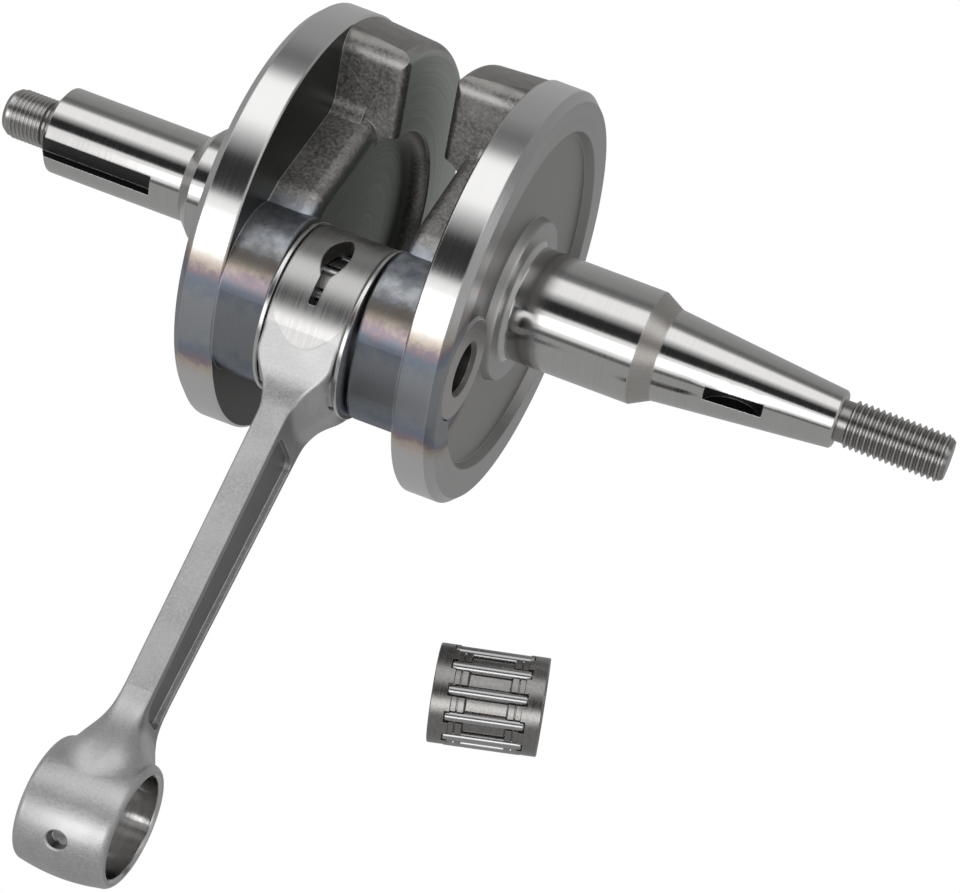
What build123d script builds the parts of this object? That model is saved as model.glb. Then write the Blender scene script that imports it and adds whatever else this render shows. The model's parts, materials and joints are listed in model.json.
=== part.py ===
from build123d import *
import math
import os

os.makedirs("parts", exist_ok=True)

# Built-up crankshaft of a single-cylinder two-stroke engine with its connecting rod, and the
# caged needle bearing of the small end lying loose beside it.
# Frame: +X along the crank axis towards the tapered shaft, +Z up, and the assembly rests on
# its web rims and on the small end of the rod. Origin: crank axis at the rod's middle plane.
# Lengths are in millimetres.

# Throw and rod
throw = 36.0
rod_length = 121.5
pin_rise_deg = 15.1
rod_drop_deg = 22.15

# Webs
web_r = 51.25
plate_in = 21.4
band_out = 29.2
plate_out = 31.1
rim_face_r = 49.4
rim_edge = 0.4
recess_r = 42.1
recess_depth = 2.2
recess_slope = 0.9
hub_r = 19.6
block_in = 5.6
block_r_in = 49.9
block_r_out = 50.8
block_round = 3.0
block_nose = 2.0
block_corner = 5.0
pocket_r = 28.5
pocket_fillet = 4.0
pocket_lip = 0.4
boss_in = 10.2
boss_r = 20.8
boss_clip_r = 51.05
boss_round = 0.9
boss_shoulder = 16.0
neck_root = 6.0
neck_half = 33.0
neck_end = 26.0
neck_end_half = 23.2
neck_tip_half = 16.5
neck_corner = 6.0
neck_round = 3.6
neck_fillet = 5.0

# Crankpin
pin_r = 12.5
pin_bore_r = 5.85
pin_chamfer = 0.6
pin_bore_chamfer = 0.9

# Main journals and shafts
journal_r = 14.0
hub_fillet = 1.2
right_journal_end = 62.3
right_cone_end = 67.1
taper_big_r = 11.4
taper_small_r = 7.2
taper_end = 110.6
right_relief_end = 112.9
right_relief_r = 5.1
right_thread_end = 138.0
right_thread_r = 5.9
right_pitch = 1.5
woodruff_mid = 87.0
woodruff_width = 3.5
woodruff_cutter_r = 8.0
woodruff_depth = 4.5
left_journal_end = 47.0
left_cone_end = 50.4
left_shaft_r = 10.5
left_shaft_end = 83.8
left_bevel_end = 86.2
left_bevel_r = 6.9
left_relief_end = 87.4
left_thread_end = 97.2
left_thread_r = 6.0
left_pitch = 1.0
keyway_width = 5.0
keyway_depth = 3.0
keyway_inner = 57.7
thread_ratio = 0.5413
thread_bevel = 1.1

# Connecting rod
big_end_r = 19.8
big_end_half = 8.7
big_bore_r = 15.5
small_end_r = 14.8
small_face_r = 13.9
small_end_half = 10.1
small_bore_r = 11.5
bore_chamfer = 0.6
shank_half = 3.3
shank_z_big = 10.5
shank_z_small = 7.4
shank_edge = 0.8
small_join_fillet = 6.0
groove_depth = 1.4
groove_flange = 1.7
groove_start = 32.0
groove_end = 21.5
flank_meets_big = 9.3
flank_leaves_big = 23.0
flank_leaves_small = 27.0
flank_bend = 18.0
side_slot_width = 2.4
side_slot_depth = 1.3
oil_slot_width = 2.1
oil_window_width = 5.5
oil_slot_from = 75.0
oil_window_from = 91.0
oil_window_to = 135.0
small_oil_r = 2.1
small_oil_sink_r = 2.9
small_oil_deg = 50.0

# Thrust washers
washer_r = 20.1
washer_bore_r = 12.58
washer_in = 8.85
washer_out = 9.8
washer_edge = 0.25

# Big-end needle bearing
big_needles = 14
big_needle_r = 1.48
big_needle_length = 12.2
big_pitch_r = 14.0
big_cage_in_r = 12.8
big_cage_out_r = 15.2
big_cage_half = 8.3
window_play = 0.06
small_window_play = 0.22

# Small-end needle bearing, loose on the table
small_needles = 11
small_needle_r = 1.23
small_needle_length = 17.6
small_needle_turn = -1.2
small_pitch_r = 10.25
small_cage_in_r = 9.3
small_cage_out_r = 11.35
small_cage_half = 12.2
small_cage_bevel = 0.2
band_inner = 7.85
outer_rib_r = 10.85
outer_rib_in = 6.6
rib_gap_r = 10.3
inner_rib_r = 10.95
inner_rib_out = 6.2
inner_rib_in = 4.9
bar_r = 9.95
bar_half = 4.45
small_bearing_x = 61.25
small_bearing_y = -82.1
small_bearing_yaw_deg = 15.4

pin_y = -throw * math.cos(math.radians(pin_rise_deg))
pin_z = throw * math.sin(math.radians(pin_rise_deg))


def turned(points):
    """Solid of revolution about X from (x, radius) points."""
    outline = make_face(Polyline(*points, close=True))
    return revolve(outline, Axis.X, 360)


def plate():
    """The full round plate of a web, with its ground rim, face recess and hub."""
    floor = plate_out - recess_depth
    return turned([
        (plate_in, 0),
        (plate_in, web_r - rim_edge),
        (plate_in + rim_edge, web_r),
        (band_out, web_r),
        (plate_out, rim_face_r),
        (plate_out, recess_r),
        (floor, recess_r - recess_slope),
        (floor, hub_r + recess_slope),
        (plate_out, hub_r),
        (plate_out, 0),
    ])


def counterweight():
    """Half-round block on the side away from the crankpin, with a turned pocket at its centre."""
    overlap = 0.5
    start = (plate_in + overlap, 0)
    line_1 = Line(start, (boss_in, 0))
    line_2 = Line(line_1 @ 1, (boss_in, pocket_r - pocket_fillet))
    arc_1 = ThreePointArc(
        line_2 @ 1,
        (boss_in - pocket_fillet * (1 - math.sqrt(0.5)), pocket_r - pocket_fillet * (1 - math.sqrt(0.5))),
        (boss_in - pocket_fillet, pocket_r),
    )
    line_3 = Line(arc_1 @ 1, (block_in + pocket_lip, pocket_r))
    line_4 = Line(line_3 @ 1, (block_in, pocket_r + pocket_lip))
    line_5 = Line(line_4 @ 1, (block_in, block_r_in - block_round))
    arc_2 = ThreePointArc(
        line_5 @ 1,
        (block_in + block_round * (1 - math.sqrt(0.5)), block_r_in - block_round * (1 - math.sqrt(0.5))),
        (block_in + block_round, block_r_in),
    )
    line_6 = Line(arc_2 @ 1, (plate_in + overlap, block_r_out))
    line_7 = Line(line_6 @ 1, start)
    outline = make_face([line_1, line_2, arc_1, line_3, line_4, line_5, arc_2, line_6, line_7])
    full = revolve(outline, Axis.X, 360)
    half_disc = Circle(block_r_out) & Pos(block_r_out, 0) * Rectangle(2 * block_r_out, 3 * block_r_out)
    rim_corners = [v for v in half_disc.vertices() if abs(v.Y) > 45]
    half_disc = fillet(rim_corners, block_corner)
    across = Plane((0, 0, 0), x_dir=(0, 1, 0), z_dir=(1, 0, 0)) * half_disc
    block = full & extrude(across, plate_in + overlap)
    edge_on = Pos(block_in + 15, 40) * Rectangle(30, 80)
    nose = [v for v in edge_on.vertices() if v.X < block_in + 1 and v.Y < 1]
    edge_on = fillet(nose, block_nose)
    return block & extrude(edge_on, 60, both=True)


def neck():
    """Forged neck that joins the counterweight to the boss round the crankpin."""
    sides = Polyline(
        (neck_root, neck_half),
        (-neck_end, neck_end_half),
        (-throw, neck_tip_half),
        (-throw, -neck_tip_half),
        (-neck_end, -neck_end_half),
        (neck_root, -neck_half),
        close=True,
    )
    flat = make_face(sides)
    flat = fillet([v for v in flat.vertices() if abs(v.X + neck_end) < 0.1], neck_corner)
    body = Plane((boss_in, 0, 0), x_dir=(0, 1, 0), z_dir=(1, 0, 0)) * flat
    solid = extrude(body, plate_in + 0.5 - boss_in)
    front = [e for e in solid.edges() if abs(e.center().X - boss_in) < 0.01]
    sides = [e for e in front if -throw + 0.1 < e.center().Y < neck_root - 0.1]
    return fillet(sides, neck_round)


def boss():
    """Round boss of the crankpin, cut back to the web's outer cylinder."""
    flat = Pos(-throw, 0) * Circle(boss_r) & Circle(boss_clip_r)
    flat = fillet(flat.vertices(), boss_shoulder)
    body = Plane((boss_in, 0, 0), x_dir=(0, 1, 0), z_dir=(1, 0, 0)) * flat
    solid = extrude(body, plate_in + 0.5 - boss_in)
    front = [e for e in solid.edges() if abs(e.center().X - boss_in) < 0.01]
    return fillet(front, boss_round)


def gusset(side):
    """Concave corner filling between the neck's flank and the counterweight's end wall."""
    slope = (neck_half - neck_end_half) / (neck_root + neck_end)
    flank = neck_half - slope * (neck_root + neck_fillet)
    foot = flank - 0.6
    top = flank + neck_fillet
    square = Pos((0.5 - neck_fillet) / 2, (foot + top) / 2) * Rectangle(neck_fillet + 0.5, top - foot)
    flat = square - Pos(-neck_fillet, top) * Circle(neck_fillet)
    body = Plane((boss_in + neck_round, 0, 0), x_dir=(0, 1, 0), z_dir=(1, 0, 0)) * flat
    corner = extrude(body, plate_in + 0.5 - boss_in - neck_round)
    return corner if side > 0 else mirror(corner, Plane.XY)


def web_blank():
    """One web without its shaft, on the +X side, with the crankpin towards -Y."""
    blank = plate() + counterweight() + neck() + boss() + gusset(1) + gusset(-1)
    return blank - Pos(plate_out, -throw, 0) * Rot(0, 90, 0) * Cylinder(pin_r, 3 * plate_out)


def thread_points(start, end, radius, pitch):
    """Outline of a thread with a vee profile, as (x, radius) points from start to end."""
    depth = thread_ratio * pitch
    points = []
    count = int((end - thread_bevel - start) / pitch)
    for i in range(count):
        x = start + i * pitch
        points.append((x + 0.06 * pitch, radius - depth))
        points.append((x + 0.44 * pitch, radius))
        points.append((x + 0.56 * pitch, radius))
        points.append((x + 0.94 * pitch, radius - depth))
    points.append((end - thread_bevel, radius - depth / 2))
    points.append((end, radius - thread_bevel))
    return points


def right_shaft():
    """Main journal, cone, taper, relief and thread of the tapered side."""
    points = [
        (plate_in, 0),
        (plate_in, journal_r + hub_fillet),
        (plate_out, journal_r + hub_fillet),
        (plate_out + hub_fillet, journal_r),
        (right_journal_end, journal_r),
        (right_cone_end, taper_big_r),
        (taper_end - 0.5, taper_small_r),
        (taper_end, taper_small_r - 0.5),
        (taper_end + 0.2, right_relief_r),
        (right_relief_end, right_relief_r),
    ]
    points += thread_points(right_relief_end, right_thread_end, right_thread_r, right_pitch)
    points.append((right_thread_end, 0))
    return turned(points)


def left_shaft():
    """Main journal, keyed shaft and thread of the drive side, drawn on +X and mirrored later."""
    points = [
        (plate_in, 0),
        (plate_in, journal_r + hub_fillet),
        (plate_out, journal_r + hub_fillet),
        (plate_out + hub_fillet, journal_r),
        (left_journal_end, journal_r),
        (left_cone_end, left_shaft_r),
        (left_shaft_end, left_shaft_r),
        (left_bevel_end, left_bevel_r),
        (left_bevel_end, left_thread_r - 0.7),
        (left_relief_end, left_thread_r - 0.7),
    ]
    points += thread_points(left_relief_end, left_thread_end, left_thread_r, left_pitch)
    points.append((left_thread_end, 0))
    return turned(points)


def keyway():
    """Flat-bottomed keyway, open at the outer end of the keyed shaft, on the crankpin's side."""
    length = left_bevel_end - keyway_inner + 2
    middle = keyway_inner + length / 2
    deep = left_shaft_r - keyway_depth
    return Pos(middle, -(deep + 5), 0) * Box(length, 10, keyway_width)


def woodruff():
    """Woodruff slot in the taper, on the crankpin's side."""
    slope = (taper_big_r - taper_small_r) / (taper_end - right_cone_end)
    surface = taper_big_r - slope * (woodruff_mid - right_cone_end)
    centre = surface - woodruff_depth + woodruff_cutter_r
    return Pos(woodruff_mid, -centre, 0) * Cylinder(woodruff_cutter_r, woodruff_width)


def crankpin():
    """Hollow pin, flush with the outer faces of both webs."""
    outline = [
        (-plate_out, pin_bore_r + pin_bore_chamfer),
        (-plate_out, pin_r - pin_chamfer),
        (-plate_out + pin_chamfer, pin_r),
        (plate_out - pin_chamfer, pin_r),
        (plate_out, pin_r - pin_chamfer),
        (plate_out, pin_bore_r + pin_bore_chamfer),
        (plate_out - pin_bore_chamfer, pin_bore_r),
        (-plate_out + pin_bore_chamfer, pin_bore_r),
    ]
    return turned(outline)


def washer(side):
    """Thrust washer beside the big end; side is 1 for right and -1 for left."""
    middle = side * (washer_in + washer_out) / 2
    disc = Cylinder(washer_r, washer_out - washer_in)
    disc = fillet(disc.edges().filter_by(GeomType.CIRCLE), washer_edge)
    ring = disc - Cylinder(washer_bore_r, 3)
    return Pos(middle, 0, 0) * Rot(0, 90, 0) * ring


def with_windows(ring, play, count, pitch_r, needle_r, needle_length):
    """Cut one window for each needle through a cage that lies about X."""
    wide = 2 * (needle_r + play)
    window = Box(needle_length + 0.3, wide, 4 * needle_r)
    cuts = [Rot(360 * i / count, 0, 0) * Pos(0, 0, pitch_r) * window for i in range(count)]
    return ring - cuts


def big_cage():
    """Plain ring cage of the big-end bearing."""
    ring = turned([
        (-big_cage_half, big_cage_in_r),
        (-big_cage_half, big_cage_out_r),
        (big_cage_half, big_cage_out_r),
        (big_cage_half, big_cage_in_r),
    ])
    return with_windows(ring, window_play, *big)


def small_cage():
    """Cage of the small-end bearing: plain end bands, two ribs at each end of every bar, low middles."""
    right = [
        (small_cage_half, small_cage_in_r + small_cage_bevel),
        (small_cage_half, small_cage_out_r - small_cage_bevel),
        (small_cage_half - small_cage_bevel, small_cage_out_r),
        (band_inner, small_cage_out_r),
        (band_inner - 0.15, outer_rib_r),
        (outer_rib_in, outer_rib_r),
        (outer_rib_in - 0.1, rib_gap_r),
        (inner_rib_out + 0.1, rib_gap_r),
        (inner_rib_out, inner_rib_r),
        (inner_rib_in, inner_rib_r),
        (bar_half, bar_r),
    ]
    left = [(-x, r) for x, r in reversed(right)]
    floor = [(small_cage_bevel - small_cage_half, small_cage_in_r)]
    floor.append((small_cage_half - small_cage_bevel, small_cage_in_r))
    return with_windows(turned(right + left + floor), small_window_play, *small)


def needle(index, count, pitch_r, needle_r, needle_length):
    """One needle roller with rounded ends, in its place round X."""
    roller = Rot(0, 90, 0) * Cylinder(needle_r, needle_length)
    ends = roller.edges().filter_by(GeomType.CIRCLE)
    roller = fillet(ends, 0.35 * needle_r)
    return Rot(360 * index / count, 0, 0) * Pos(0, 0, pitch_r) * roller


def oil_cut():
    """Narrow slot and wider window through the big-end wall, on the +Z side."""
    half_arc = (oil_window_to - oil_window_from) / 2
    middle_deg = (oil_window_from + oil_window_to) / 2
    reach = 2 * big_end_r * math.sin(math.radians(half_arc))
    side = oil_window_width / 2
    lens_r = (reach * reach / 4 + side * side) / (2 * side)
    shift = lens_r - side
    lens = Pos(0, shift) * Circle(lens_r) & Pos(0, -shift) * Circle(lens_r)
    window = extrude(Rot(0, 0, 90) * lens, 30)
    window = Rot(90 - middle_deg, 0, 0) * window
    slot_to = oil_window_from + 8
    slot_mid = (oil_slot_from + slot_to) / 2
    slot_long = big_end_r * math.radians(slot_to - oil_slot_from)
    slot = Pos(0, 0, 15) * Box(oil_slot_width, slot_long, 30)
    slot = fillet(slot.edges().filter_by(Axis.Z), 0.4)
    return window + Rot(90 - slot_mid, 0, 0) * slot


def side_flare():
    """Outline of the upper rod seen edge-on: thin shank flaring to the width of the big end."""
    wide = big_end_half - 0.15
    flare = Spline(
        (wide, -16.3),
        (wide - 1.0, -18.8),
        (shank_half + 1.9, -22.3),
        (shank_half + 0.5, -26.0),
        (shank_half, -31.0),
        tangents=[(-0.3, -1), (0, -1)],
    )
    foot = flank_leaves_small - rod_length
    rest = Polyline(flare @ 1, (shank_half, foot), (0, foot), (0, -4), (wide, -4), flare @ 0)
    right = make_face([flare, rest])
    return right + mirror(right, Plane.YZ)


def flank_height(distance):
    """Half-height of the straight shank at a distance from the crankpin."""
    span = rod_length - flank_leaves_small - flank_leaves_big
    share = (distance - flank_leaves_big) / span
    return shank_z_big + share * (shank_z_small - shank_z_big)


def upper_shank():
    """Forged shank from the big end down to where the small end's flare begins."""
    tangent_z = math.sqrt(big_end_r ** 2 - flank_meets_big ** 2) - 0.15
    foot = flank_leaves_small - rod_length
    points = [
        (0, tangent_z),
        (-flank_meets_big, tangent_z),
        (-flank_leaves_big, shank_z_big),
        (foot, shank_z_small),
    ]
    mirrored = [(y, -z) for y, z in reversed(points)]
    flat = make_face(Polyline(*points, *mirrored, close=True))
    bends = [v for v in flat.vertices() if abs(v.X + flank_leaves_big) < 0.1]
    rounded = fillet(bends, flank_bend)
    across = Plane((-12, 0, 0), x_dir=(0, 1, 0), z_dir=(1, 0, 0)) * rounded
    body = extrude(across, 24) & extrude(side_flare(), 30, both=True)
    long_edges = [e for e in body.edges() if e.length > 5 and e.center().Y < -flank_meets_big]
    long_edges = [e for e in long_edges if abs(e.center().Z) > 4 and abs(e.center().X) > 1]
    return fillet(long_edges, shank_edge)


def small_flare():
    """Flare that carries the shank into the eye of the small end, with ever rounder corners."""
    start_step = 0.04
    sections = [
        (
            flank_leaves_small,
            shank_half + start_step,
            shank_z_small + start_step,
            shank_edge + start_step,
        ),
        (24.5, shank_half + 0.1, 7.55, 1.0),
        (21.0, shank_half + 0.6, 8.1, 1.9),
        (17.5, shank_half + 1.7, 9.4, 3.0),
        (14.0, shank_half + 3.3, 11.1, 4.4),
        (10.0, shank_half + 4.5, 12.7, 6.4),
        (5.0, shank_half + 4.6, 13.9, 7.0),
    ]
    faces = []
    for distance, half_x, half_z, corner in sections:
        plane = Plane((0, distance - rod_length, 0), x_dir=(1, 0, 0), z_dir=(0, -1, 0))
        faces.append(plane * RectangleRounded(2 * half_x, 2 * half_z, corner))
    return loft(faces)


def lower_rod():
    """Small end and its flare, blended into each other."""
    far = -rod_length
    body = small_flare() + Pos(0, far, 0) * small_end()
    reach = small_end_r + 0.7
    join = [e for e in body.edges() if 2 < e.center().Y - far < reach and e.length > 0.5]
    join = [e for e in join if abs(e.center().X) < small_end_half - 0.05]
    return fillet(join, small_join_fillet)


def rod_blank():
    """Forged shank and small end with a shallow groove in each side of the shank."""
    body = upper_shank() + lower_rod()
    far = -rod_length
    inner_z = flank_height(groove_start) - groove_flange
    outer_z = flank_height(rod_length - groove_end) - groove_flange
    ring = [
        (-groove_start, inner_z),
        (far + groove_end, outer_z),
        (far + groove_end, -outer_z),
        (-groove_start, -inner_z),
    ]
    groove = make_face(Polyline(*ring, close=True))
    groove = fillet(groove.vertices(), 3.0)
    for side in (1, -1):
        base = Plane((side * (shank_half - groove_depth), 0, 0), x_dir=(0, 1, 0), z_dir=(1, 0, 0))
        body -= extrude(base * groove, side * 8)
    return body


def small_end():
    """Barrel-shaped eye of the small end, without its bore."""
    corner = 1.6
    line_1 = Line((-small_end_half, 0), (-small_end_half, small_face_r - corner))
    arc_1 = ThreePointArc(
        line_1 @ 1,
        (-small_end_half + 0.47, small_face_r - 0.47),
        (-small_end_half + corner, small_face_r),
    )
    barrel = ThreePointArc(arc_1 @ 1, (0, small_end_r), (small_end_half - corner, small_face_r))
    arc_2 = ThreePointArc(
        barrel @ 1,
        (small_end_half - 0.47, small_face_r - 0.47),
        (small_end_half, small_face_r - corner),
    )
    line_2 = Line(arc_2 @ 1, (small_end_half, 0))
    base = Line(line_2 @ 1, line_1 @ 0)
    return revolve(make_face([line_1, arc_1, barrel, arc_2, line_2, base]), Axis.X, 360)


def bore_tool(radius, half):
    """Cutter for a bore along X with a chamfer at each mouth."""
    reach = half + 2
    return turned([
        (-reach, 0),
        (-reach, radius + bore_chamfer + 2),
        (-half, radius + bore_chamfer),
        (-half + bore_chamfer, radius),
        (half - bore_chamfer, radius),
        (half, radius + bore_chamfer),
        (reach, radius + bore_chamfer + 2),
        (reach, 0),
    ])


def connecting_rod():
    """Rod along -Y from the big end at the origin, with both bores and the oil holes."""
    eye = turned([
        (-big_end_half, 0),
        (-big_end_half, big_end_r - 0.4),
        (-big_end_half + 0.4, big_end_r),
        (big_end_half - 0.4, big_end_r),
        (big_end_half, big_end_r - 0.4),
        (big_end_half, 0),
    ])
    body = eye + rod_blank()
    body -= bore_tool(big_bore_r, big_end_half)
    body -= Pos(0, -rod_length, 0) * bore_tool(small_bore_r, small_end_half)
    cut = oil_cut()
    body -= [cut, mirror(cut, Plane.XY)]
    notch = Pos(big_end_half, -big_end_r, 0) * Box(2 * side_slot_depth, big_end_r, side_slot_width)
    body -= [notch, mirror(notch, Plane.YZ)]
    depth = small_oil_sink_r - small_oil_r
    hole = Pos(0, 0, 12) * Cylinder(small_oil_r, 20)
    sink = Pos(0, 0, small_end_r) * Cone(small_oil_r - depth, small_oil_sink_r + depth, 4 * depth)
    for side in (1, -1):
        body -= Pos(0, -rod_length, 0) * Rot(90 - side * small_oil_deg, 0, 0) * (hole + sink)
    return body


def at_crank(shape):
    """Turn a shape drawn with the crankpin towards -Y to the crank's resting angle."""
    return Rot(-pin_rise_deg, 0, 0) * shape


def at_pin(shape):
    """Move a shape drawn about X onto the crankpin's axis."""
    return Pos(0, pin_y, pin_z) * shape


def at_table(shape):
    """Move a shape drawn about X to where the loose bearing lies on the table."""
    height = -web_r + small_cage_out_r
    turned_about = Rot(0, 0, small_bearing_yaw_deg) * Rot(small_needle_turn, 0, 0)
    return Pos(small_bearing_x, small_bearing_y, height) * turned_about * shape


def save(name, shape):
    """Write one node, labelled with its name."""
    shape.label = name
    export_step(shape, f"parts/{name}.step")


blank = web_blank()
save("right_web", at_crank(blank + right_shaft() - woodruff()))
drive_side = blank + left_shaft() - keyway()
save("left_web", at_crank(mirror(drive_side, Plane.YZ)))
save("crankpin", at_pin(crankpin()))
save("connecting_rod", at_pin(Rot(rod_drop_deg, 0, 0) * connecting_rod()))
save("thrust_washer_right", at_pin(washer(1)))
save("thrust_washer_left", at_pin(washer(-1)))

big = (big_needles, big_pitch_r, big_needle_r, big_needle_length)
save("big_end_cage", at_pin(big_cage()))
for i in range(big_needles):
    save(f"big_end_needle_{i + 1:02d}", at_pin(needle(i, *big)))

small = (small_needles, small_pitch_r, small_needle_r, small_needle_length)
save("small_end_cage", at_table(small_cage()))
for i in range(small_needles):
    save(f"small_end_needle_{i + 1:02d}", at_table(needle(i, *small)))
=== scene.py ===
import json
import math

import bpy
from mathutils import Matrix, Vector


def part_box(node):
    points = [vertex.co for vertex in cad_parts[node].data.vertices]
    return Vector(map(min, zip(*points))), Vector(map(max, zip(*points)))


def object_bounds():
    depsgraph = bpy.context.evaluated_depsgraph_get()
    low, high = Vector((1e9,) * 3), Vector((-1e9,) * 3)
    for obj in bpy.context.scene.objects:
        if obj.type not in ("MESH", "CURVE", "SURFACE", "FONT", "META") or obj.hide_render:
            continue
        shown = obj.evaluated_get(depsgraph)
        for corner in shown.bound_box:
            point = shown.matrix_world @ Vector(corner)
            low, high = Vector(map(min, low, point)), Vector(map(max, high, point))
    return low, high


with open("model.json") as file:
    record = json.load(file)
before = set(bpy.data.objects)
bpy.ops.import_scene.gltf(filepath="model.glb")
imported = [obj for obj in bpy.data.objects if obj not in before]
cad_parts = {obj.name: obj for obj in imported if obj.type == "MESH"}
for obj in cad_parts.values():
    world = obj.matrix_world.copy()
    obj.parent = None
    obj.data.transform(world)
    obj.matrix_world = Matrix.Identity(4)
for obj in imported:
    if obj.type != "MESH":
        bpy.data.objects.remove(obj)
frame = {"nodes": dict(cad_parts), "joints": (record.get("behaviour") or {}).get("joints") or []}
cad_low, cad_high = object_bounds()

# Camera: the picture plane is parallel to the crank axis, seen 48.2 degrees above the table,
# rolled so that the axis runs down to the right, and the object sits far off the lens axis.
ELEVATION = math.radians(48.2)
ROLL = math.radians(20.5)
CAMERA_AT = Vector((0.18593, -0.44966, 0.47686))
LENS = 104.42
SHIFT_X = -0.6606
SHIFT_Y = 0.1612
SENSOR = 36
CLIP_START, CLIP_END = 0.01, 20
MOVED_BY = 0.0005  # metres along X, past which the camera counts as moved by a viewer

MM = 1000.0


def centre(node):
    low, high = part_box(node)
    return (Vector(low) + Vector(high)) / 2 * MM


def size(node):
    low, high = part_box(node)
    return (Vector(high) - Vector(low)) * MM


PIN = centre("crankpin")
WEB_R = size("right_web").y / 2
WEB_OUT = size("crankpin").x / 2
ROD_LOW = Vector(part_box("connecting_rod")[0]) * MM
SMALL_R = 14.8
SMALL_END = Vector((0, ROD_LOW.y + SMALL_R, ROD_LOW.z + SMALL_R))
ROD_DIR = (SMALL_END - PIN).normalized()
BEARING = centre("small_end_cage")
# Shafts, in millimetres along the crank axis: the keyed end is on -X, the taper on +X.
KEYED_R = 10.5
KEYWAY_INNER = -57.5
KEYED_END = -83.8
KEYWAY_OUTER = -86.2
BEVEL_R = 6.9
TAPER_START = 67.1
TAPER_END = 110.6
TAPER_BIG_R = 11.4
TAPER_SMALL_R = 7.2
GROOVE_FLOOR = 1.7
HEAT_CENTRE = PIN + Vector((0, 0, -1.5))
HEAT_REACH = 40.0

# Where each finish starts and ends. A mask is 0 at the first number and 1 at the second.
# Sideways lengths are millimetres from the middle of the crank, along its axis.
BOSS_SIDEWAYS = (9.0, 10.0)
INNER_FACE_SIDEWAYS = (12.5, 11.5)
BLOCK_SIDEWAYS = (21.6, 21.2)
TURNED_SIDEWAYS = (20.8, 21.2)
OUTER_SIDEWAYS = (26.8, 27.2)
SHAFT_SIDEWAYS = (WEB_OUT + 0.15, WEB_OUT + 0.35)
# Radii round the crank axis.
BLOCK_RADIUS = (48.6, 49.6)
RIM_RADIUS = (WEB_R - 0.7, WEB_R - 0.5)
CHAMFER_RADIUS = (49.2, 49.5)
OUTER_RADIUS = (49.5, 49.3)
SHAFT_RADIUS = (15.8, 15.5)
THREAD_RADIUS = (6.6, 6.3)
THREAD_ROOT_TO_CREST = (5.1, 5.9)
HEAT_RADIUS = (26, 30)
# Radii round the crankpin, on the webs and the pin.
BOSS_SKIN = (24.5, 21.0)
BOSS_TURNED = (26.0, 24.0)
HEAT_WHOLE = (26, 24)
HEAT_CORE = (20, 17)
PIN_BORE = (7.1, 6.6)
# Radii round the crankpin, on the rod.
BIG_END = (25.6, 25.0)
BIG_END_SIDE = (20.3, 20.0)
BIG_END_BORE = (16.6, 16.2)
SHANK_STARTS = (27.0, 29.5)
# Radii round the small end.
SHANK_ENDS = (18.5, 21.0)
SMALL_END_SIDE = (15.2, 14.9)
SMALL_END_BORE = (12.3, 11.95)
# A depth below the round surface counts as a slot between these.
SLOT_DEPTH = (0.12, 0.25)


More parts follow.
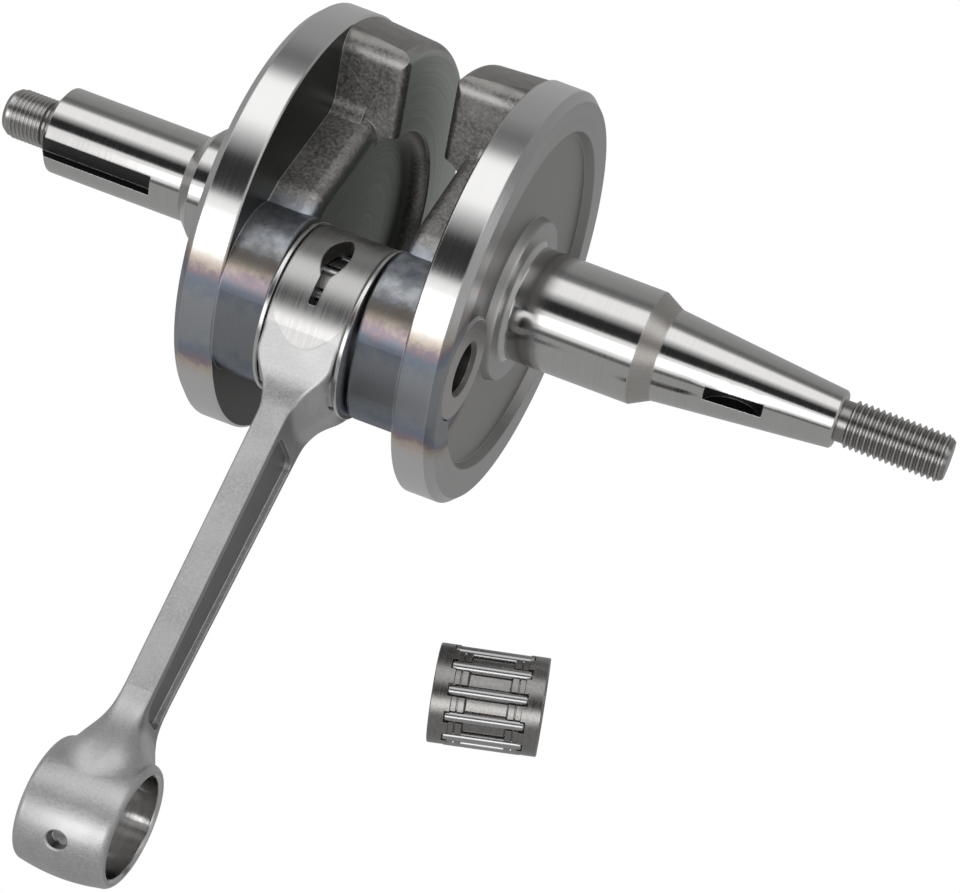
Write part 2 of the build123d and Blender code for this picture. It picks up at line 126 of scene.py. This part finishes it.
class Nodes:
    """Short calls for building a shader out of nodes. A value is a number or an output socket."""

    def __init__(self, tree):
        self.tree = tree
        tree.nodes.clear()

    def add(self, kind, **settings):
        node = self.tree.nodes.new(kind)
        for name, value in settings.items():
            setattr(node, name, value)
        return node

    def put(self, socket, value):
        if isinstance(value, bpy.types.NodeSocket):
            self.tree.links.new(value, socket)
        elif value is not None:
            socket.default_value = value

    def math(self, op, a, b=None, clamp=False):
        node = self.add("ShaderNodeMath", operation=op, use_clamp=clamp)
        self.put(node.inputs[0], a)
        self.put(node.inputs[1], b)
        return node.outputs[0]

    def plus(self, a, b):
        return self.math("ADD", a, b)

    def minus(self, a, b):
        return self.math("SUBTRACT", a, b)

    def times(self, a, b):
        return self.math("MULTIPLY", a, b)

    def change(self, kind, value, from_ends, to_ends):
        node = self.add("ShaderNodeMapRange", interpolation_type=kind)
        self.put(node.inputs["Value"], value)
        names = ("From Min", "From Max", "To Min", "To Max")
        for name, number in zip(names, (*from_ends, *to_ends)):
            self.put(node.inputs[name], number)
        return node.outputs[0]

    def fit(self, value, low, high, out_low=0.0, out_high=1.0):
        """Smooth step of value from low to high."""
        return self.change("SMOOTHSTEP", value, (low, high), (out_low, out_high))

    def fit_line(self, value, low, high, out_low, out_high):
        """Straight-line change of value from low to high."""
        return self.change("LINEAR", value, (low, high), (out_low, out_high))

    def band(self, value, low, high, soft):
        """1 between low and high, 0 outside."""
        rise = self.fit(value, low - soft, low + soft)
        fall = self.fit(value, high - soft, high + soft, 1.0, 0.0)
        return self.times(rise, fall)

    def both(self, a, b):
        return self.times(a, b)

    def colour(self, factor, a, b, blend="MIX"):
        node = self.add("ShaderNodeMix", data_type="RGBA", blend_type=blend)
        self.put(node.inputs["Factor"], factor)
        self.put(node.inputs[6], a)
        self.put(node.inputs[7], b)
        return node.outputs[2]

    def value(self, factor, a, b):
        node = self.add("ShaderNodeMix", data_type="FLOAT")
        self.put(node.inputs["Factor"], factor)
        self.put(node.inputs[2], a)
        self.put(node.inputs[3], b)
        return node.outputs[0]

    def ramp(self, value, stops):
        """Colour ramp from (position, colour) stops with positions from 0 to 1."""
        node = self.add("ShaderNodeValToRGB")
        points = node.color_ramp.elements
        points[0].position, points[0].color = stops[0][0], stops[0][1]
        points[1].position, points[1].color = stops[-1][0], stops[-1][1]
        for position, colour in stops[1:-1]:
            points.new(position).color = colour
        self.put(node.inputs[0], value)
        return node.outputs[0]

    def join(self, x, y, z):
        node = self.add("ShaderNodeCombineXYZ")
        for socket, value in zip(node.inputs, (x, y, z)):
            self.put(socket, value)
        return node.outputs[0]

    def split(self, vector):
        node = self.add("ShaderNodeSeparateXYZ")
        self.put(node.inputs[0], vector)
        return node.outputs

    def vector(self, op, a, b):
        node = self.add("ShaderNodeVectorMath", operation=op)
        self.put(node.inputs[0], a)
        self.put(node.inputs[1], b)
        return node.outputs["Value" if op == "DOT_PRODUCT" else "Vector"]

    def noise(self, vector, scale, detail, rough):
        node = self.add("ShaderNodeTexNoise")
        self.put(node.inputs["Vector"], vector)
        self.put(node.inputs["Scale"], scale)
        self.put(node.inputs["Detail"], detail)
        self.put(node.inputs["Roughness"], rough)
        return node.outputs[0]

    def bump(self, height, distance, normal):
        node = self.add("ShaderNodeBump")
        self.put(node.inputs["Strength"], 1.0)
        self.put(node.inputs["Distance"], distance)
        self.put(node.inputs["Height"], height)
        self.put(node.inputs["Normal"], normal)
        return node.outputs[0]


def grey(level, warm=0.0):
    """Linear grey, with warm as the share that red gains and blue loses."""
    return (level * (1 + warm), level, level * (1 - warm), 1)


class Steel(Nodes):
    """A steel surface in millimetres of the shared frame, with finishes laid over each other."""

    WORN_EDGE = (0.995, 0.90)  # cosine between the true and the rounded normal
    WORN_ROUGH = 0.28

    def __init__(self, name, edge=0.25):
        self.material = bpy.data.materials.new(name)
        self.material.use_nodes = True
        super().__init__(self.material.node_tree)
        coords = self.add("ShaderNodeTexCoord")
        self.place = self.vector("MULTIPLY", coords.outputs["Object"], (MM, MM, MM))
        self.x, self.y, self.z = self.split(self.place)
        self.ax = self.math("ABSOLUTE", self.x)
        self.r = self.length(self.y, self.z)
        normal = self.split(coords.outputs["Normal"])
        self.nx = self.math("ABSOLUTE", normal[0])
        self.rounded = self.add("ShaderNodeBevel", samples=4)
        self.put(self.rounded.inputs["Radius"], edge / MM)
        geometry = self.add("ShaderNodeNewGeometry")
        cosine = self.vector("DOT_PRODUCT", self.rounded.outputs[0], geometry.outputs["Normal"])
        self.worn = self.fit(cosine, *self.WORN_EDGE)
        self.base = grey(0.5)
        self.rough = 0.3
        self.height = 0.0
        self.aniso = 0.0

    def length(self, a, b):
        squares = self.plus(self.times(a, a), self.times(b, b))
        return self.math("SQRT", squares)

    def away(self, point):
        """Distance in the YZ plane from a point."""
        return self.length(self.minus(self.y, point.y), self.minus(self.z, point.z))

    def lines(self, along, radius, pitch, swirl=0.02):
        """Fine marks left by turning: they change fast along one coordinate, hardly round it."""
        fine = self.join(
            self.times(along, 1 / pitch), self.times(radius, swirl), self.times(self.y, swirl)
        )
        return self.noise(fine, 1.0, 4.0, 0.7)

    def lay(self, mask, base, rough, height=None, aniso=None):
        """Put a finish over what is there, where the mask is 1."""
        self.base = self.colour(mask, self.base, base)
        self.rough = self.value(mask, self.rough, rough)
        if height is not None:
            self.height = self.value(mask, self.height, height)
        if aniso is not None:
            self.aniso = self.value(mask, self.aniso, aniso)

    def tint(self, mask, colour):
        self.base = self.colour(mask, self.base, colour, "MULTIPLY")

    def wear(self, strength, level=0.75):
        mask = self.times(self.worn, strength)
        self.base = self.colour(mask, self.base, grey(level))
        self.rough = self.value(mask, self.rough, self.WORN_ROUGH)

    def done(self, relief):
        shader = self.add("ShaderNodeBsdfPrincipled")
        self.put(shader.inputs["Metallic"], 1.0)
        self.put(shader.inputs["Base Color"], self.base)
        self.put(shader.inputs["Roughness"], self.rough)
        self.put(shader.inputs["Anisotropic"], self.aniso)
        tangent = self.add("ShaderNodeTangent", direction_type="RADIAL", axis="X")
        self.put(shader.inputs["Tangent"], tangent.outputs[0])
        normal = self.bump(self.height, relief / MM, self.rounded.outputs[0])
        self.put(shader.inputs["Normal"], normal)
        out = self.add("ShaderNodeOutputMaterial")
        self.put(out.inputs["Surface"], shader.outputs[0])
        return self.material


def heat_colours(steel, distance):
    """Temper colours left by heating round the crankpin, by distance from its axis."""
    ragged = steel.noise(steel.place, 0.35, 4.0, 0.65)
    shifted = steel.plus(distance, steel.times(steel.minus(ragged, 0.5), 3.2))
    tempers = [
        (0.0, (0.60, 0.62, 0.64)),
        (16.0, (0.58, 0.61, 0.65)),
        (17.4, (0.40, 0.47, 0.58)),
        (18.4, (0.55, 0.45, 0.50)),
        (19.4, (0.92, 0.80, 0.68)),
        (20.6, (0.99, 0.95, 0.90)),
        (22.0, (1.00, 1.00, 1.00)),
    ]
    stops = [(radius / HEAT_REACH, (*colour, 1)) for radius, colour in tempers]
    return steel.ramp(steel.times(shifted, 1 / HEAT_REACH), stops)


def web_steel():
    """Turned and ground webs with forged inner sides and temper colours near the crankpin."""
    s = Steel("web_steel", edge=0.35)
    grain = s.noise(s.place, 1.3, 6.0, 0.65)
    lumps = s.noise(s.place, 0.28, 4.0, 0.6)
    blotch = s.noise(s.place, 0.07, 3.0, 0.5)
    distance = s.away(PIN)
    heat = heat_colours(s, s.away(HEAT_CENTRE))

    # forged skin: dark grey and pitted, with paler patches, and bluish on the boss
    forged = s.colour(s.fit(grain, 0.35, 0.7), grey(0.19, 0.03), grey(0.42, 0.03))
    forged = s.colour(s.times(s.fit(blotch, 0.4, 0.65), 0.5), forged, grey(0.46, 0.02))
    s.base = forged
    s.rough = s.fit(grain, 0.3, 0.7, 0.35, 0.50)
    s.height = s.plus(grain, s.times(lumps, 2.0))
    boss = s.both(s.fit(distance, *BOSS_SKIN), s.fit(s.ax, *BOSS_SIDEWAYS))
    bluish = s.colour(s.fit(lumps, 0.3, 0.7), (0.20, 0.225, 0.26, 1), (0.42, 0.45, 0.50, 1))
    s.lay(s.times(boss, 0.85), bluish, 0.36)

    # faces that were turned on the inner side
    facing = s.fit(s.nx, 0.80, 0.93)
    inner = s.both(facing, s.fit(s.ax, *INNER_FACE_SIDEWAYS))
    turned = s.lines(s.r, s.ax, 0.35)
    dark = s.colour(s.fit(turned, 0.3, 0.7), (0.34, 0.36, 0.34, 1), (0.47, 0.49, 0.465, 1))
    s.lay(inner, dark, 0.42, turned)
    plate_in = s.both(facing, s.band(s.ax, 20.5, 22.5, 0.5))
    shaded = s.colour(turned, (0.05, 0.055, 0.05, 1), (0.10, 0.10, 0.095, 1))
    s.lay(plate_in, shaded, 0.45, turned)

    # outer cylinder of the counterweight and the boss: turned and dull
    radial = s.fit(s.nx, 0.35, 0.2)
    block = s.both(s.both(radial, s.fit(s.r, *BLOCK_RADIUS)), s.fit(s.ax, *BLOCK_SIDEWAYS))
    across = s.lines(s.ax, s.r, 0.5)
    dull = s.colour(across, grey(0.21, 0.05), grey(0.30, 0.04))
    s.lay(block, dull, s.fit(lumps, 0.3, 0.7, 0.30, 0.42), across)
    boss_end = s.both(block, s.fit(distance, *BOSS_TURNED))
    s.lay(boss_end, s.colour(across, grey(0.38), grey(0.50)), 0.26, s.times(across, 0.3))

    # rim: ground bright
    rim = s.both(s.fit(s.r, *RIM_RADIUS), s.band(s.ax, 21.3, 29.4, 0.1))
    ground = s.lines(s.ax, s.r, 0.18)
    fine = s.times(ground, 0.10)
    shiny = s.colour(ground, grey(0.62, 0.01), grey(0.74, 0.005))
    s.lay(rim, shiny, s.fit(ground, 0.3, 0.7, 0.11, 0.17), fine)
    chamfer = s.both(s.band(s.ax, 29.3, WEB_OUT + 0.1, 0.08), s.fit(s.r, *CHAMFER_RADIUS))
    s.lay(chamfer, s.colour(ground, grey(0.46, 0.01), grey(0.60)), 0.24, ground)

    # outer face: turned ring, satin recess, bright hub
    outer = s.both(s.fit(s.ax, *OUTER_SIDEWAYS), s.fit(s.r, *OUTER_RADIUS))
    ring = s.lines(s.r, s.ax, 0.3)
    face = s.colour(ring, grey(0.36, 0.01), grey(0.50, 0.01))
    s.lay(outer, face, 0.34, ring, 0.5)
    recess = s.both(outer, s.band(s.r, 19.8, 42.3, 0.15))
    satin = s.colour(s.noise(s.place, 2.5, 5.0, 0.7), grey(0.30, 0.015), grey(0.38, 0.015))
    s.lay(recess, satin, 0.45, grain, 0.35)

    # shafts: circumferential grinding
    shaft = s.both(s.fit(s.ax, *SHAFT_SIDEWAYS), s.fit(s.r, *SHAFT_RADIUS))
    long_marks = s.lines(s.ax, s.r, 0.22)
    streak = s.lines(s.ax, s.r, 2.0)
    polish = s.colour(long_marks, grey(0.52, 0.01), grey(0.68, 0.01))
    polish = s.colour(s.times(streak, 0.35), polish, grey(0.48, 0.02))
    gloss = s.fit(long_marks, 0.3, 0.7, 0.08, 0.14)
    s.lay(shaft, polish, gloss, s.times(long_marks, 0.08), 0.0)
    cone = s.both(shaft, s.band(s.x, 62.4, 67.3, 0.3))
    s.lay(cone, s.colour(grain, grey(0.34, 0.06), grey(0.52, 0.04)), 0.33)
    # threads: painted shade, the colour goes darker towards the thread roots than at the crests
    thread = s.both(shaft, s.fit(s.r, *THREAD_RADIUS))
    thread_root_shade = s.colour(s.fit(s.r, *THREAD_ROOT_TO_CREST), grey(0.30, 0.03), grey(0.50, 0.02))
    s.lay(thread, thread_root_shade, 0.26)

    # slots for the keys: painted shade, near black where the surface lies below its shaft
    keyed_r = s.fit_line(s.x, KEYWAY_OUTER, KEYED_END, BEVEL_R, KEYED_R)
    below = s.fit(s.minus(keyed_r, s.r), *SLOT_DEPTH)
    s.lay(s.both(s.band(s.x, KEYWAY_OUTER, KEYWAY_INNER, 0.1), below), grey(0.06), 0.5)
    taper_r = s.fit_line(s.x, TAPER_START, TAPER_END, TAPER_BIG_R, TAPER_SMALL_R)
    below = s.fit(s.minus(taper_r, s.r), *SLOT_DEPTH)
    s.lay(s.both(s.band(s.x, TAPER_START + 1, TAPER_END - 8, 0.1), below), grey(0.06), 0.5)

    # temper colours over rim and boss
    warm = s.both(s.fit(distance, *HEAT_WHOLE), s.fit(s.r, *HEAT_RADIUS))
    s.tint(warm, heat)
    near = s.both(warm, s.fit(distance, *HEAT_CORE))
    s.rough = s.value(near, s.rough, 0.36)
    turned_skin = s.math("MAXIMUM", s.fit(s.ax, *TURNED_SIDEWAYS), s.fit(s.nx, 0.6, 0.7))
    s.wear(s.times(turned_skin, 0.35))
    return s.done(0.035)


def pin_steel():
    """Turned end faces of the crankpin, with painted shade darkening the bore."""
    s = Steel("pin_steel", edge=0.2)
    distance = s.away(PIN)
    rings = s.lines(distance, s.ax, 0.3)
    s.base = s.colour(rings, grey(0.34, 0.01), grey(0.46, 0.01))
    s.rough = s.fit(rings, 0.3, 0.7, 0.26, 0.36)
    s.height = rings
    # painted shade: the bore inside the hollow pin is painted darker
    inside = s.fit(distance, *PIN_BORE)
    s.lay(inside, grey(0.16, 0.04), 0.4)
    s.tint(s.times(s.fit(s.nx, 0.5, 0.8), 0.35), (0.86, 0.80, 0.76, 1))
    s.wear(0.4)
    return s.done(0.006)


def rod_steel():
    """Peened satin forging, with turned big end, honed bores and bright side faces."""
    s = Steel("rod_steel", edge=0.4)
    distance = s.away(PIN)
    grain = s.noise(s.place, 1.9, 5.0, 0.7)
    coarse = s.noise(s.place, 0.5, 3.0, 0.55)
    blotch = s.noise(s.place, 0.09, 2.0, 0.5)
    s.base = s.colour(s.fit(grain, 0.3, 0.7), grey(0.44), grey(0.60))
    s.base = s.colour(s.times(s.fit(blotch, 0.35, 0.65), 0.4), s.base, grey(0.68))
    s.rough = s.fit(grain, 0.3, 0.7, 0.38, 0.48)
    s.height = s.plus(grain, s.times(coarse, 1.2))

    # machined part of the big end, above a U-shaped boundary with the forged shank
    along = s.plus(
        s.times(s.minus(s.y, PIN.y), ROD_DIR.y), s.times(s.minus(s.z, PIN.z), ROD_DIR.z)
    )
    cosine = s.math("DIVIDE", along, distance)
    turn = s.times(s.math("ARCCOSINE", cosine), 180 / math.pi)
    middle_turn, side_turn, half_width = 46.0, 24.0, 9
    part = s.times(s.ax, 1 / half_width)
    limit = s.plus(middle_turn, s.times(s.times(part, part), side_turn))
    above = s.fit(s.minus(turn, limit), -1.2, 1.2)
    marks = s.lines(s.ax, distance, 0.3, 0.01)
    machined = s.both(above, s.fit(distance, *BIG_END))
    bright = s.colour(marks, grey(0.40, 0.01), grey(0.49, 0.01))
    s.lay(machined, bright, s.fit(marks, 0.3, 0.7, 0.25, 0.33), s.times(marks, 0.35))
    flat = s.fit(s.nx, 0.9, 0.97)
    rings = s.lines(distance, s.ax, 0.3)
    side = s.both(s.both(flat, s.fit(distance, *BIG_END_SIDE)), s.fit(s.ax, 8.0, 8.4))
    s.lay(side, s.colour(rings, grey(0.40), grey(0.52)), 0.3, rings)
    bore = s.fit(distance, *BIG_END_BORE)
    s.lay(bore, grey(0.5), 0.18)

    # oil openings: their walls are painted dark, as painted shade inside the openings
    through = s.both(s.band(distance, 15.6, 19.5, 0.2), s.fit(s.ax, 7.8, 7.0))
    opening_wall_shade = s.both(through, s.fit(s.nx, 0.15, 0.3))
    s.lay(s.times(opening_wall_shade, 0.6), grey(0.14, 0.05), 0.5)

    # grooves in the sides of the shank are in shade and dull
    small = s.away(SMALL_END)
    beyond = s.both(s.fit(distance, *SHANK_STARTS), s.fit(small, *SHANK_ENDS))
    groove = s.both(beyond, s.fit(s.nx, 0.6, 0.8))
    s.lay(s.times(groove, 0.6), grey(0.17), 0.45)
    floor = s.both(beyond, s.fit(s.ax, GROOVE_FLOOR + 0.9, GROOVE_FLOOR + 0.4))
    s.lay(s.times(s.both(floor, s.fit(s.nx, 0.3, 0.6)), 0.7), grey(0.13), 0.5)

    # small end
    face = s.both(s.both(flat, s.fit(small, *SMALL_END_SIDE)), s.fit(s.ax, 8.5, 8.9))
    ring = s.lines(small, s.ax, 0.3)
    s.lay(face, s.colour(ring, grey(0.38), grey(0.50)), 0.34, ring)
    # painted shade: the oil hole through the small end is painted dark
    oil_hole_shade = s.both(s.band(small, 11.9, 14.35, 0.06), s.fit(s.ax, 3.4, 3.2))
    s.lay(oil_hole_shade, grey(0.16), 0.4)
    hone = s.lines(s.x, s.y, 0.4)
    inside = s.fit(small, *SMALL_END_BORE)
    honed = s.colour(hone, grey(0.50, 0.01), grey(0.66, 0.01))
    s.lay(inside, honed, s.fit(hone, 0.3, 0.7, 0.10, 0.18), hone)
    s.wear(0.25, 0.6)
    return s.done(0.022)


def washer_steel():
    """Ground washers with fine rings."""
    s = Steel("washer_steel", edge=0.12)
    rings = s.lines(s.away(PIN), s.ax, 0.25)
    s.base = s.colour(rings, grey(0.60, 0.01), grey(0.74))
    s.rough = s.fit(rings, 0.3, 0.7, 0.20, 0.3)
    s.height = rings
    s.wear(0.5, 0.8)
    return s.done(0.005)


def cage_steel(name, middle, turned_about):
    """Dull cage steel with marks that run round its own axis."""
    s = Steel(name, edge=0.12)
    from_middle = s.vector("SUBTRACT", s.place, tuple(middle))
    along = s.vector("DOT_PRODUCT", from_middle, tuple(turned_about))
    marks = s.lines(along, s.r, 0.28)
    spots = s.noise(s.place, 1.6, 4.0, 0.6)
    s.base = s.colour(marks, grey(0.22, 0.03), grey(0.33, 0.03))
    s.base = s.colour(s.times(s.fit(spots, 0.4, 0.7), 0.4), s.base, grey(0.14, 0.07))
    s.rough = s.fit(marks, 0.3, 0.7, 0.22, 0.32)
    s.height = s.plus(marks, s.times(spots, 0.5))
    s.wear(0.45, 0.5)
    return s.done(0.008)


def needle_steel(name, turned_about):
    """Smooth hard needles."""
    s = Steel(name, edge=0.1)
    along = s.vector("DOT_PRODUCT", s.place, tuple(turned_about))
    marks = s.lines(along, s.r, 0.3)
    s.base = s.colour(marks, grey(0.40), grey(0.48))
    s.rough = s.fit(marks, 0.3, 0.7, 0.20, 0.27)
    s.height = marks
    return s.done(0.001)


def dress():
    """Give every carried-over node its material."""
    axes = {joint["name"]: Vector(joint["axis"]) for joint in frame["joints"]}
    small_axis = axes["small_cage_turn"]
    across = Vector((1, 0, 0))
    looks = {
        "web": web_steel(),
        "crankpin": pin_steel(),
        "rod": rod_steel(),
        "washer": washer_steel(),
        "big_end_cage": cage_steel("big_cage_steel", PIN, across),
        "small_end_cage": cage_steel("small_cage_steel", BEARING, small_axis),
        "big_end_needle": needle_steel("big_needle_steel", across),
        "small_end_needle": needle_steel("small_needle_steel", small_axis),
    }
    for name, node in frame["nodes"].items():
        for key, look in looks.items():
            if key in name:
                node.data.materials.clear()
                node.data.materials.append(look)


def make_camera():
    """Camera of the photo. Its lens shift is for that view alone: a camera that a viewer has
    moved elsewhere looks straight ahead, so the object stays in its picture."""
    data = bpy.data.cameras.new("camera")
    cam = bpy.data.objects.new("camera", data)
    bpy.context.scene.collection.objects.link(cam)
    side = Vector((1, 0, 0))
    up = Vector((0, math.sin(ELEVATION), math.cos(ELEVATION)))
    back = Vector((0, -math.cos(ELEVATION), math.sin(ELEVATION)))
    right = side * math.cos(ROLL) + up * math.sin(ROLL)
    top = up * math.cos(ROLL) - side * math.sin(ROLL)
    cam.matrix_world = Matrix((
        (right.x, top.x, back.x, CAMERA_AT.x),
        (right.y, top.y, back.y, CAMERA_AT.y),
        (right.z, top.z, back.z, CAMERA_AT.z),
        (0, 0, 0, 1),
    ))
    data.sensor_width = SENSOR
    data.lens = LENS
    data.clip_start = CLIP_START
    data.clip_end = CLIP_END
    for name, value in (("shift_x", SHIFT_X), ("shift_y", SHIFT_Y)):
        setattr(data, name, value)
        driver = data.driver_add(name).driver
        driver.type = "SCRIPTED"
        var = driver.variables.new()
        var.name = "px"
        var.type = "SINGLE_PROP"
        var.targets[0].id = cam
        var.targets[0].data_path = "location[0]"
        driver.expression = f"{value} if abs(px - {CAMERA_AT.x}) < {MOVED_BY} else 0.0"
    bpy.context.scene.camera = cam


def make_world():
    """Studio of soft strips that run parallel to the crank axis. Only reflections and light
    come from the strips: the camera itself sees plain white."""
    world = bpy.data.worlds.new("studio")
    bpy.context.scene.world = world
    world.use_nodes = True
    n = Nodes(world.node_tree)
    coords = n.add("ShaderNodeTexCoord")
    x, y, z = n.split(coords.outputs["Generated"])
    angle = n.math("ARCTAN2", z, n.times(y, -1.0))
    place = n.plus(n.times(angle, 0.5 / math.pi), 0.5)

    bright, overhead, dark, horizon, behind, table = 1.20, 1.32, 0.03, 0.14, 0.42, 0.42
    shoulder, back_edge, back_gap, back_strip = 0.55, 0.30, 0.18, 0.34
    # Degrees above the horizon in front, over the top to the horizon behind at 180.
    levels = [
        (-180, behind), (-150, table), (-6, table), (-2, horizon), (4, horizon), (10, bright),
        (42, bright), (46, dark), (65, dark), (75, shoulder), (86, overhead), (111, overhead),
        (120, back_edge), (130, back_gap), (145, back_strip), (180, behind),
    ]
    bands = [(degrees / 360 + 0.5, grey(level)) for degrees, level in levels]
    strips = n.ramp(place, bands)
    sideways = n.fit(n.math("ABSOLUTE", x), 0.75, 0.98)
    strips = n.colour(sideways, strips, grey(shoulder))
    seen = n.add("ShaderNodeBackground")
    n.put(seen.inputs[0], grey(1.0))
    light = n.add("ShaderNodeBackground")
    n.put(light.inputs[0], strips)
    path = n.add("ShaderNodeLightPath")
    mix = n.add("ShaderNodeMixShader")
    n.put(mix.inputs[0], path.outputs["Is Camera Ray"])
    n.put(mix.inputs[1], light.outputs[0])
    n.put(mix.inputs[2], seen.outputs[0])
    out = n.add("ShaderNodeOutputWorld")
    n.put(out.inputs["Surface"], mix.outputs[0])


def make_floor():
    """Plain table that reflects as a mid grey. The camera doesn't see it: the background is
    plain white, and a rod turned below the table stays in view."""
    mesh = bpy.data.meshes.new("floor")
    reach, gap, level = 1.5, 0.0002, 0.42
    height = cad_low.z - gap
    corners = [(x, y, height) for x, y in (
        (-reach, -reach), (reach, -reach), (reach, reach), (-reach, reach)
    )]
    mesh.from_pydata(corners, [], [(0, 1, 2, 3)])
    floor = bpy.data.objects.new("floor", mesh)
    bpy.context.scene.collection.objects.link(floor)
    material = bpy.data.materials.new("floor_white")
    material.use_nodes = True
    n = Nodes(material.node_tree)
    mirrored = n.add("ShaderNodeEmission")
    n.put(mirrored.inputs["Color"], grey(level))
    out = n.add("ShaderNodeOutputMaterial")
    n.put(out.inputs["Surface"], mirrored.outputs[0])
    mesh.materials.append(material)
    floor.visible_camera = False


def make_lights():
    """One soft rectangular light in front of the object, raised over the table."""
    width, depth, power = 0.9, 0.35, 1.6
    place, target = Vector((0.0, -0.96, 0.45)), Vector((0, -0.03, 0))
    data = bpy.data.lights.new("soft_box", "AREA")
    data.shape = "RECTANGLE"
    data.size = width
    data.size_y = depth
    data.energy = power
    light = bpy.data.objects.new("soft_box", data)
    light.location = place
    light.rotation_mode = "QUATERNION"
    light.rotation_quaternion = (target - place).to_track_quat("-Z", "Y")
    bpy.context.scene.collection.objects.link(light)


dress()
make_camera()
make_world()
make_floor()
make_lights()
view = bpy.context.scene.view_settings
view.view_transform = "Standard"
view.look = "None"
